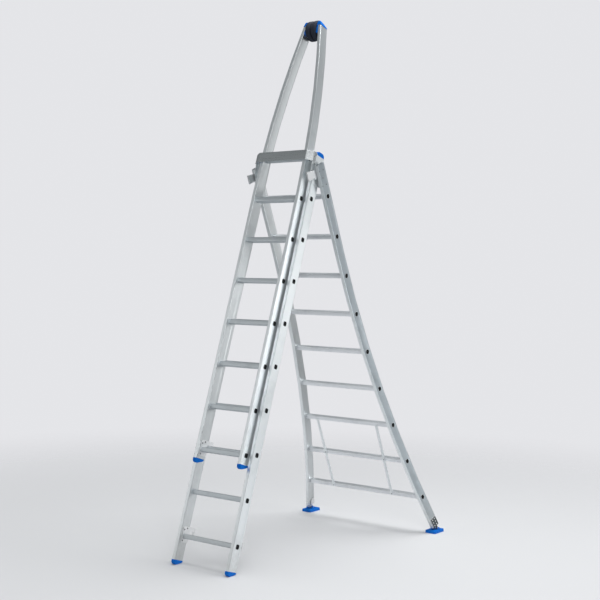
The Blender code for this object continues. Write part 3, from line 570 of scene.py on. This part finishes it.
def end_tree(tree, given, shape):
    """Put a shape on each point, by the point's own turn and size, as real faces with a material."""
    turn = add_node(tree, "FunctionNodeEulerToRotation", {"Euler": attribute(tree, "turn")})
    spots = add_node(tree, "GeometryNodeInstanceOnPoints", {
        "Points": given["Geometry"], "Instance": shape, "Rotation": turn.outputs["Rotation"],
        "Scale": attribute(tree, "size")})
    real = add_node(tree, "GeometryNodeRealizeInstances", {"Geometry": spots.outputs["Instances"]})
    paint = add_node(tree, "GeometryNodeSetMaterial", {
        "Geometry": real.outputs["Geometry"], "Material": given["Material"]})
    add_node(tree, "NodeGroupOutput", {"Geometry": paint.outputs["Geometry"]})
    return tree


print("a tree puts a shape on points, by their turn and size")


# %% from a tree to a plain mesh
def grown(tree, name, spots, values, body, smooth_below=None):
    """Run a tree on points and keep the result as one plain mesh on a body."""
    mesh = bpy.data.meshes.new(name + "_points")
    mesh.from_pydata([spot["at"] for spot in spots], [], [])
    for label in ("turn", "size"):
        layer = mesh.attributes.new(label, "FLOAT_VECTOR", "POINT")
        for index, spot in enumerate(spots):
            layer.data[index].vector = spot[label]
    holder = bpy.data.objects.new(name, mesh)
    bpy.context.scene.collection.objects.link(holder)
    modifier = holder.modifiers.new(tree.name, "NODES")
    modifier.node_group = tree
    for item in tree.interface.items_tree:
        if item.item_type == "SOCKET" and item.in_out == "INPUT" and item.name in values:
            modifier[item.identifier] = values[item.name]
    bake(holder)
    if smooth_below is not None:
        smooth(holder, smooth_below)
    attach(holder, body)
    print(name, "places:", len(spots), "faces:", len(holder.data.polygons))


print("helpers for trees ready")

# %% [markdown]
# The rungs are extruded with fine ribs on their treads, so that a shoe does not slip. A line of
# thin bars makes the ribs of one rung. The tree sets that line on the upper and the lower face of
# every rung and stretches it to the rung's own length between the stiles.

# %% a tree for tread ribs
RUNG_SIZE = 0.031
TREAD_SINK = 0.00005
TREAD_HEIGHT = RUNG_SIZE / 2 - TREAD_SINK


def tread_tree():
    """Thin bars along both treads of each rung."""
    tree, given = new_tree("tread_ribs", {
        "Ribs": 5, "Spacing": 0.0042, "Rib Width": 0.0016, "Rib Height": 0.0006,
        "Tread Height": TREAD_HEIGHT})
    bar_size = add_node(tree, "ShaderNodeCombineXYZ", {
        "X": 1.0, "Y": given["Rib Width"], "Z": given["Rib Height"]})
    bar = add_node(tree, "GeometryNodeMeshCube", {"Size": bar_size.outputs["Vector"]})
    gaps = add_node(tree, "ShaderNodeMath", {0: given["Ribs"], 1: 1.0}, operation="SUBTRACT")
    edge = product(tree, product(tree, gaps.outputs["Value"], given["Spacing"]), -0.5)
    step = add_node(tree, "ShaderNodeCombineXYZ", {"Y": given["Spacing"]})
    join = tree.nodes.new("GeometryNodeJoinGeometry")
    for sign in (1.0, -1.0):
        first = add_node(tree, "ShaderNodeCombineXYZ", {
            "Y": edge, "Z": product(tree, given["Tread Height"], sign)})
        row = add_node(tree, "GeometryNodeMeshLine", {
            "Count": given["Ribs"], "Start Location": first.outputs["Vector"],
            "Offset": step.outputs["Vector"]})
        bars = add_node(tree, "GeometryNodeInstanceOnPoints", {
            "Points": row.outputs["Mesh"], "Instance": bar.outputs["Mesh"]})
        feed(tree, join.inputs["Geometry"], bars.outputs["Instances"])
    return end_tree(tree, given, join.outputs["Geometry"])


TREADS = tread_tree()
print("tree:", TREADS.name)

# %% treads of each section
STILE_WIDTH = 0.0255
TREAD_GAP = {"middle": 0.002, "top": 0.002, "rear": 0.011}

for section, body in SECTION_BODY.items():
    spots = []
    for node in rungs_of(section):
        low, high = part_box(node)
        length = high.x - low.x - 2 * (STILE_WIDTH + TREAD_GAP[section])
        spots.append({"at": middle_of(node), "turn": (SECTION_TURN[section], 0.0, 0.0),
                      "size": (length, 1.0, 1.0)})
    values = {"Tread Height": TREAD_HEIGHT, "Material": RUNG_FINISH[section]}
    grown(TREADS, section + "_treads", spots, values, body)

# %% [markdown]
# Each rung is a tube, closed at both ends by a black plug that sits flush in the outer face of
# the stile. A square with round corners is filled and thickened, and the tree puts one on each
# rung end. On the bent stiles the plugs tilt with the face.

# %% a tree for plugs
PLUG_DEPTH = 0.008
PLUG_WELD = 0.00005


def plug_tree():
    """Rounded square plug with a closed back."""
    tree, given = new_tree("rung_plugs", {"Width": 0.0295, "Corner": 0.0110, "Depth": PLUG_DEPTH})
    square = add_node(tree, "GeometryNodeCurvePrimitiveQuadrilateral", {
        "Width": given["Width"], "Height": given["Width"]})
    fillet = add_node(tree, "GeometryNodeFilletCurve", {
        "Curve": square.outputs["Curve"], "Count": 4, "Radius": given["Corner"]}, mode="POLY")
    face = add_node(tree, "GeometryNodeFillCurve", {"Curve": fillet.outputs["Curve"]}, mode="NGONS")
    thick = add_node(tree, "GeometryNodeExtrudeMesh", {
        "Mesh": face.outputs["Mesh"], "Offset Scale": given["Depth"]})
    back = add_node(tree, "GeometryNodeFlipFaces", {"Mesh": face.outputs["Mesh"]})
    join = tree.nodes.new("GeometryNodeJoinGeometry")
    for half in (thick, back):
        feed(tree, join.inputs["Geometry"], half.outputs["Mesh"])
    weld = add_node(tree, "GeometryNodeMergeByDistance", {
        "Geometry": join.outputs["Geometry"], "Distance": PLUG_WELD})
    return end_tree(tree, given, weld.outputs["Geometry"])


PLUGS = plug_tree()
print("tree:", PLUGS.name)

# %% plugs of each section
PLUG_PROUD = 0.0002
PLUG_SMOOTH_BELOW = math.radians(40)


def facing(normal, along):
    """Turn that points a shape's z along the normal and its y along the section."""
    z = Vector(normal).normalized()
    x = Vector(along).cross(z).normalized()
    y = z.cross(x)
    return tuple(Matrix((x, y, z)).transposed().to_euler())


def end_face(node, axis, sign):
    """Place and outward direction of a rung end on the stile's face."""
    centre = middle_of(node)
    reach = [0.0, 0.0]
    for vert in nodes[node].data.vertices:
        height = (vert.co - centre).dot(axis)
        index = 0 if height < 0 else 1
        reach[index] = max(reach[index], abs(vert.co.x))
    slope = (reach[1] - reach[0]) / RUNG_SIZE
    normal = Vector((sign, 0.0, 0.0)) - axis * slope
    at = Vector((sign * (reach[0] + reach[1]) / 2, centre.y, centre.z))
    return at, normal.normalized()


for section, body in SECTION_BODY.items():
    spots = []
    axis = SECTION_AXIS[section]
    for node in rungs_of(section):
        for sign in (-1, 1):
            at, normal = end_face(node, axis, sign)
            spots.append({"at": at - normal * (PLUG_DEPTH - PLUG_PROUD), "turn": facing(normal, axis),
                          "size": (1.0, 1.0, 1.0)})
    values = {"Depth": PLUG_DEPTH, "Material": PLUG_BLACK}
    grown(PLUGS, section + "_rung_plugs", spots, values, body, PLUG_SMOOTH_BELOW)

# %% [markdown]
# Rivets hold the hooks, the bent bar, the wing plates and the tie bars. Each is a low dome. Its
# place is a share of the plate's depth and height, in the coordinates of the section that the
# plate sits on, so that the rivets follow the lean of the section.

# %% a tree for rivets
DOME = 0.45
DOME_SMOOTH_BELOW = math.radians(60)


def rivet_tree():
    """Low domes."""
    tree, given = new_tree("rivets", {"Dome": DOME})
    ball = add_node(tree, "GeometryNodeMeshUVSphere", {"Segments": 14, "Rings": 8, "Radius": 1.0})
    flat = add_node(tree, "ShaderNodeCombineXYZ", {"X": 1.0, "Y": 1.0, "Z": given["Dome"]})
    shape = add_node(tree, "GeometryNodeTransform", {
        "Geometry": ball.outputs["Mesh"], "Scale": flat.outputs["Vector"]})
    return end_tree(tree, given, shape.outputs["Geometry"])


RIVETS = rivet_tree()
print("tree:", RIVETS.name)

# %% rivets of the climbing side
HOOK_RIVET = 0.0055
PLATE_RIVET = 0.0045
HOOK_SPOTS = ((0.09, 0.80), (0.30, 0.90), (0.09, 0.12))
BAR_SPOTS = ((0.90, 0.40), (0.90, 0.80), (0.62, 0.62))
rivets = {body: [] for body in SECTION_BODY.values()}


def face_x(node, side):
    """Where a solid ends on the left (-1) or the right (1)."""
    low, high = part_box(node)
    return high.x if side > 0 else low.x


def in_section(section, node, across, up, x):
    """Point at a plate: shares of its depth and height in the section's own frame, at a given x."""
    turn = Matrix.Rotation(SECTION_TURN[section], 3, "X")
    back = turn.inverted()
    local = [back @ vert.co for vert in nodes[node].data.vertices]
    low_y, high_y = min(v.y for v in local), max(v.y for v in local)
    low_z, high_z = min(v.z for v in local), max(v.z for v in local)
    return turn @ Vector((x, low_y + across * (high_y - low_y), low_z + up * (high_z - low_z)))


def add_rivets(section, node, shares, x, side, radius):
    """Rivets of a plate, facing to the left (-1) or the right (1)."""
    for across, up in shares:
        rivets[SECTION_BODY[section]].append({
            "at": in_section(section, node, across, up, x),
            "turn": facing((side, 0.0, 0.0), (0.0, 0.0, 1.0)), "size": (radius, radius, radius)})


for name, sign in SIDES:
    for section in ("middle", "top"):
        hook = f"{section}_hook_{name}"
        add_rivets(section, hook, HOOK_SPOTS, face_x(hook, -sign), -sign, HOOK_RIVET)
    add_rivets("middle", "retaining_bar", BAR_SPOTS, face_x("retaining_bar", sign), sign, PLATE_RIVET)
print({body: len(spots) for body, spots in rivets.items()})

# %% [markdown]
# The wing plates sit on the inner faces of the rear stiles, and their rivets come through to the
# outer faces. A tie bar has a rivet on its front at each of the two lowest rungs.

# %% rivets of the rear section
REAR_OUTER = 0.277
WING_SPOTS = ((0.62, 0.10), (0.88, 0.10), (0.62, 0.80), (0.88, 0.80), (0.75, 0.45))
TIE_FRONT = 0.0198
TIE_RIVET = 0.0042
TIED_RUNGS = rungs_of("rear")[:2]

forward = Matrix.Rotation(REAR_TURN, 3, "X") @ Vector((0.0, -TIE_FRONT, 0.0))
for name, sign in SIDES:
    add_rivets("rear", "wing_plate_" + name, WING_SPOTS, sign * REAR_OUTER, sign, PLATE_RIVET)
    for rung in TIED_RUNGS:
        centre = middle_of(rung)
        centre.x = middle_of("tie_bar_" + name).x
        rivets["rear_section"].append({"at": centre + forward, "turn": facing(forward, (1.0, 0.0, 0.0)),
                                       "size": (TIE_RIVET, TIE_RIVET, TIE_RIVET)})
for body, spots in rivets.items():
    grown(RIVETS, body + "_rivets", spots, {"Dome": DOME, "Material": RIVET_METAL}, body,
          DOME_SMOOTH_BELOW)

# %% [markdown]
# The grey cheek of each foot bracket shows rows of bright round dots. They are the same domes,
# only flatter. The cheek leans with the flared stile, so its own plane is measured first: the
# largest outward face gives the direction, and the top edge gives the place of the rows.

# %% dots on the foot brackets
FACES_OUT = 0.9
SAME_DIRECTION = 0.999
SAME_PLANE = 0.0005
SAME_EDGE = 0.001
DOT_ROWS = 3
DOT_COLUMNS = (-0.5, 0.5)
DOT_SIZE = (0.0048, 0.0048, 0.0026)
DOT_FROM_TOP = 0.012
DOT_ROW_PITCH = 0.021
DOT_COLUMN_PITCH = 0.026


def bracket_cheek(name, sign):
    """Outer cheek of a foot bracket: middle of its top edge, and its directions out, up and across."""
    mesh = nodes["foot_bracket_" + name].data
    faces = [face for face in mesh.polygons if face.normal.x * sign > FACES_OUT]
    outward = max(faces, key=lambda face: face.area).normal.copy()
    faces = [face for face in faces if face.normal.dot(outward) > SAME_DIRECTION]
    corners = [mesh.vertices[index].co for face in faces for index in face.vertices]
    reach = max(corner.dot(outward) for corner in corners)
    corners = [corner for corner in corners if reach - corner.dot(outward) < SAME_PLANE]
    along = (REAR_AXIS - outward * REAR_AXIS.dot(outward)).normalized()
    sideways = along.cross(outward)
    top = max(corner.dot(along) for corner in corners)
    edge = [corner.dot(sideways) for corner in corners if top - corner.dot(along) < SAME_EDGE]
    middle = (min(edge) + max(edge)) / 2
    return outward * reach + along * top + sideways * middle, outward, along, sideways


dots = []
for name, sign in SIDES:
    top_middle, outward, along, sideways = bracket_cheek(name, sign)
    for row in range(DOT_ROWS):
        for column in DOT_COLUMNS:
            down = along * (DOT_FROM_TOP + DOT_ROW_PITCH * row)
            dots.append({"at": top_middle - down + sideways * (DOT_COLUMN_PITCH * column),
                         "turn": facing(outward, along), "size": DOT_SIZE})
grown(RIVETS, "shoe_bracket_dots", dots, {"Dome": DOME, "Material": PLATE_METAL}, "rear_section",
      DOME_SMOOTH_BELOW)

# %% [markdown]
# The stage is a wide pale floor that fades into the background, so that no horizon shows.

# %% floor
FLOOR_RADIUS = 16.0
FLOOR_DROP = 0.0005
FLOOR_COLOUR = (0.73, 0.735, 0.75, 1.0)
FADE_FROM = 0.8
FADE_TO = 6.0


def floor_disc(radius):
    """Flat round floor."""
    shape = bmesh.new()
    bmesh.ops.create_circle(shape, cap_ends=True, segments=96, radius=radius)
    return to_mesh(shape, "floor")


def floor_finish():
    """Pale floor that dissolves with distance."""
    made, tree, shader, plain = new_material("studio_floor")
    shader.inputs["Base Color"].default_value = FLOOR_COLOUR
    shader.inputs["Roughness"].default_value = 0.7
    shader.inputs["Specular IOR Level"].default_value = 0.15
    distance = add_node(tree, "ShaderNodeVectorMath", {0: plain}, operation="LENGTH")
    fade = add_node(tree, "ShaderNodeMapRange", {
        "Value": distance.outputs["Value"], "From Min": FADE_FROM, "From Max": FADE_TO,
        "To Min": 1.0, "To Max": 0.0}, interpolation_type="SMOOTHSTEP")
    feed(tree, shader.inputs["Alpha"], fade.outputs["Result"])
    return made


floor = shown("floor", floor_disc(FLOOR_RADIUS), floor_finish())
floor.location.z = -FLOOR_DROP
print("floor radius:", FLOOR_RADIUS, "m")

# %% [markdown]
# One large soft light stands behind on the right, so that the outer faces of the stiles shine. A
# dimmer one on the left lights their narrow fronts, one is high above the camera, and one hangs
# over the ladder. Metal mirrors its surroundings, so the world has two colours: a pale one that
# the camera sees, and a dimmer one that the metal reflects.

# %% light
BACKGROUND = (0.78, 0.785, 0.81, 1.0)
SURROUND = (0.185, 0.197, 0.203, 1.0)


def softbox(name, place_at, aim, width, height, power):
    """Large soft light."""
    lamp = bpy.data.lights.new(name, "AREA")
    lamp.shape = "RECTANGLE"
    lamp.size = width
    lamp.size_y = height
    lamp.energy = power
    holder = bpy.data.objects.new(name, lamp)
    holder.location = place_at
    holder.rotation_euler = (Vector(aim) - Vector(place_at)).to_track_quat("-Z", "Y").to_euler()
    bpy.context.scene.collection.objects.link(holder)


def studio_world():
    """Pale background for the eye, and a dimmer surround that lights the metal."""
    made = bpy.data.worlds.new("studio")
    made.use_nodes = True
    tree = made.node_tree
    seen = tree.nodes["Background"]
    seen.inputs["Color"].default_value = BACKGROUND
    cast = add_node(tree, "ShaderNodeBackground", {"Color": SURROUND})
    path = tree.nodes.new("ShaderNodeLightPath")
    blend = add_node(tree, "ShaderNodeMixShader", {
        "Fac": path.outputs["Is Camera Ray"],
        1: cast.outputs["Background"],
        2: seen.outputs["Background"]})
    feed(tree, tree.nodes["World Output"].inputs["Surface"], blend.outputs["Shader"])
    return made


softbox("right_softbox", (6.3, 2.7, 1.85), (0, -0.3, 1.75), width=5.0, height=1.7, power=112)
softbox("front_softbox", (-5.5, -6.0, 3.3), (0, -0.5, 1.5), width=5.0, height=4.6, power=66)
softbox("key_softbox", (4.6, -5.3, 4.4), (0, -0.4, 1.6), width=2.8, height=3.4, power=135)
softbox("top_softbox", (0.8, 1.2, 8.0), (0, 0, 0), width=4.5, height=4.5, power=520)
bpy.context.scene.world = studio_world()
bpy.context.scene.view_settings.view_transform = "Standard"
print("lights:", len(bpy.data.lights), "softboxes and a pale surround")

# %% [markdown]
# The camera stands where the eye of the picture was, at about the height of a person. Its place,
# its lens and two of its directions were found from the ends of the rungs. The third direction
# is square to both.

# %% camera
EYE_PLACE = (4.6429, -6.0405, 1.8131)
EYE_RIGHT = (0.7930, 0.6090, 0.0140)
EYE_BACK = (0.6087, -0.7930, 0.0229)
EYE_LENS = 68.04
SENSOR_WIDTH = 36.0
VIEW_DISTANCE = 200.0

eye = bpy.data.cameras.new("eye")
eye.lens = EYE_LENS
eye.sensor_width = SENSOR_WIDTH
eye.clip_end = VIEW_DISTANCE
camera = bpy.data.objects.new("camera", eye)
back = Vector(EYE_BACK).normalized()
up = back.cross(Vector(EYE_RIGHT).normalized()).normalized()
right = up.cross(back).normalized()
basis = Matrix((right, up, back)).transposed().to_4x4()
camera.matrix_world = Matrix.Translation(EYE_PLACE) @ basis
bpy.context.scene.collection.objects.link(camera)
bpy.context.scene.camera = camera
print("camera at", [round(v, 3) for v in camera.location])

# %% [markdown]
# Last, the scene is brought up to date.

# %% finish
bpy.context.view_layer.update()
